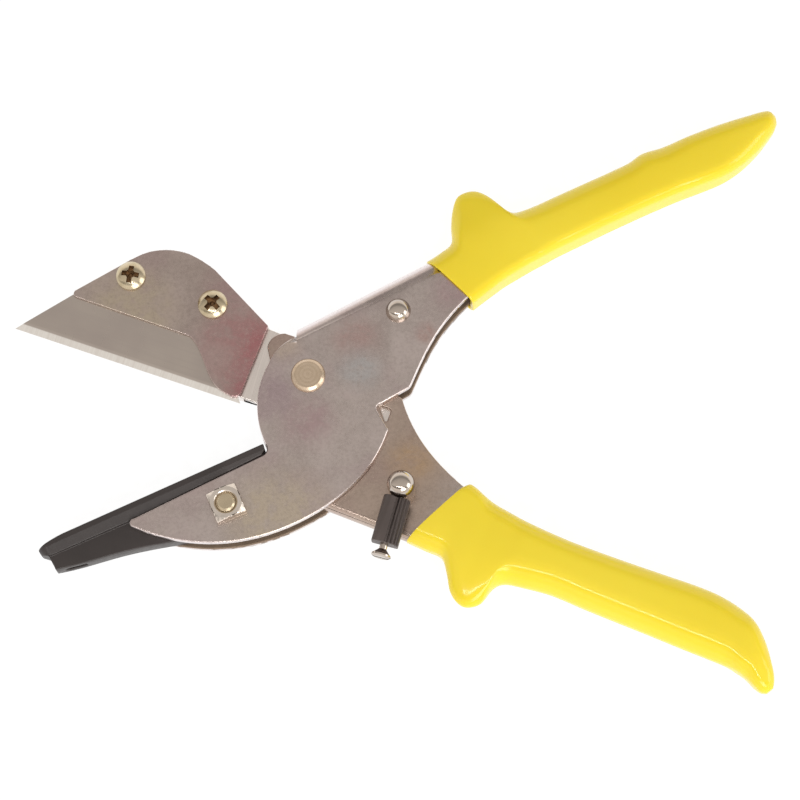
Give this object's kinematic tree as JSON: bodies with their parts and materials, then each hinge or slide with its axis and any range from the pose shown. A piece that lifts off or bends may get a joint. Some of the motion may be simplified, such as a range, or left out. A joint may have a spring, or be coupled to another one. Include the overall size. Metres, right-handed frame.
{
  "type": "pvc pipe cutter",
  "caption": "Hand shears that press a straight knife blade onto an anvil bar to cut plastic pipe and trunking, with dipped handles, a sprung pivot and a swinging strut latch.",
  "frame": {"origin": "pivot axis at the flat peened end that the tool rests on, lying on its back face", "axes": "+X from the jaws to the handles, +Y from the anvil jaw to the blade, +Z out of the front face, along the pivot axis"},
  "size_m": [0.196, 0.1524, 0.0179],
  "materials": {
    "zinc_steel": "zinc plated, slightly mottled",
    "blade_steel": "ground",
    "pale_steel": "ground",
    "yellow_zinc": "yellow zinc plated",
    "bright_steel": "polished",
    "bronze": "turned",
    "spring_steel": "oil tempered wire",
    "anvil_plastic": "satin",
    "latch_plastic": "satin",
    "grip_pvc": "dipped, glossy"
  },
  "bodies": {
    "body": {"body_shell": "zinc_steel", "anvil": "anvil_plastic", "anvil_screw": "yellow_zinc", "anvil_nut": "pale_steel", "pivot_rivet": "yellow_zinc", "pivot_washer": "pale_steel", "upper_post": "bright_steel", "return_spring": "spring_steel", "upper_grip": "grip_pvc"},
    "lever": {"lever_shell": "zinc_steel", "pivot_bush": "bronze", "blade_arm": "pale_steel", "arm_rivets": "pale_steel", "blade": "blade_steel", "clamp_plate": "zinc_steel", "clamp_screws": "yellow_zinc", "lower_grip": "grip_pvc", "latch_post": "bright_steel", "latch_spacer": "pale_steel"},
    "latch": {"latch_eye": "pale_steel", "latch_barrel": "latch_plastic", "latch_screw": "bright_steel"}
  },
  "joints": [
    {"name": "handle_pivot", "type": "hinge", "parent": "body", "child": "lever", "pos_m": [0, 0, 0.0064], "axis": [0, 0, 1], "range_deg": [0, 43.4], "stiffness_Nm_per_rad": 0.8, "springref_deg": -20.05, "deforming": ["return_spring"]},
    {"name": "latch_hinge", "type": "hinge", "parent": "lever", "child": "latch", "pos_m": [0.0236, -0.0293, 0.0122], "axis": [0, 0, 1], "range_deg": [-114, 0]}
  ]
}
